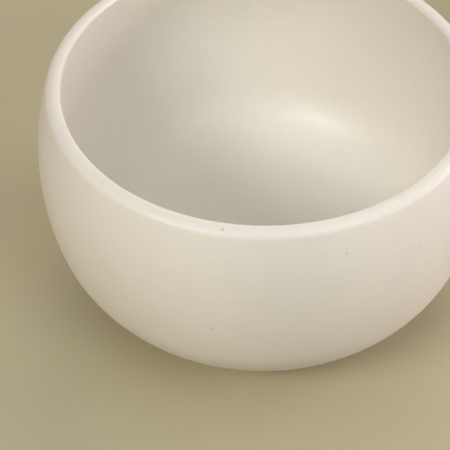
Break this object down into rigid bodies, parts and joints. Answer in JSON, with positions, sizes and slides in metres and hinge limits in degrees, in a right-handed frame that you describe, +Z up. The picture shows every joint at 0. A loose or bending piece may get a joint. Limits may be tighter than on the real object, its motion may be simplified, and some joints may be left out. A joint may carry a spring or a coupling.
{
  "type": "shaving bowl",
  "caption": "Round open stoneware bowl with an incurved wall, rounded lip, flat floor and glazed foot recess, for working up shaving lather.",
  "frame": {"origin": "centre of the foot ring, on the surface the bowl stands on", "axes": "+Z up along the bowl's axis of revolution, out of its mouth; +X and +Y are equivalent, as the bowl is round"},
  "size_m": [0.116, 0.116, 0.0675],
  "materials": {
    "clay": "bare fired stoneware, warm pale buff, dry and faintly sandy, on the foot ring only",
    "inside_glaze": "satin warm off-white liner glaze, smooth, with soft reflections",
    "outside_glaze": "matt to satin-matt warm off-white glaze with rare dark pinholes",
    "underside_glaze": "thin satin-matt warm off-white glaze in the foot recess"
  },
  "bodies": {
    "root": {"stoneware_body": "clay", "inside_glaze": "inside_glaze", "outside_glaze": "outside_glaze", "underside_glaze": "underside_glaze"}
  },
  "joints": []
}
